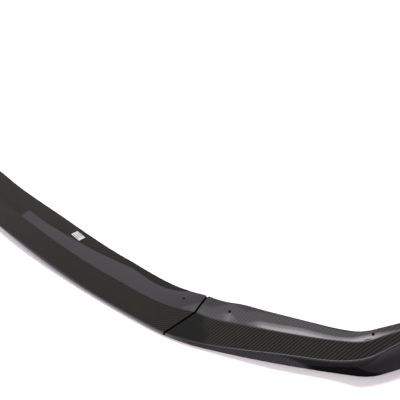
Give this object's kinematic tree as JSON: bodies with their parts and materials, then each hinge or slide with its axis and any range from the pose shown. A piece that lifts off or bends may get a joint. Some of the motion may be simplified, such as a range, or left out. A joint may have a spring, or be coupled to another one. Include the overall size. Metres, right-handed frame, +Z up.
{
  "type": "front splitter lip",
  "caption": "Carbon-fibre front splitter lip for a car: a long centre section with a swept, wrap-round end section on each side.",
  "frame": {"origin": "centre of the bounding box in X and Y, at the height of the bottom edge that the lip stands on", "axes": "+X across the car, -Y forward out of the car, +Z up"},
  "size_m": [1.75, 0.379, 0.0694],
  "materials": {
    "carbon": "twill carbon fibre under a high-gloss clear coat"
  },
  "bodies": {
    "root": {"centre_section": "carbon", "right_end_section": "carbon", "left_end_section": "carbon"}
  },
  "joints": []
}
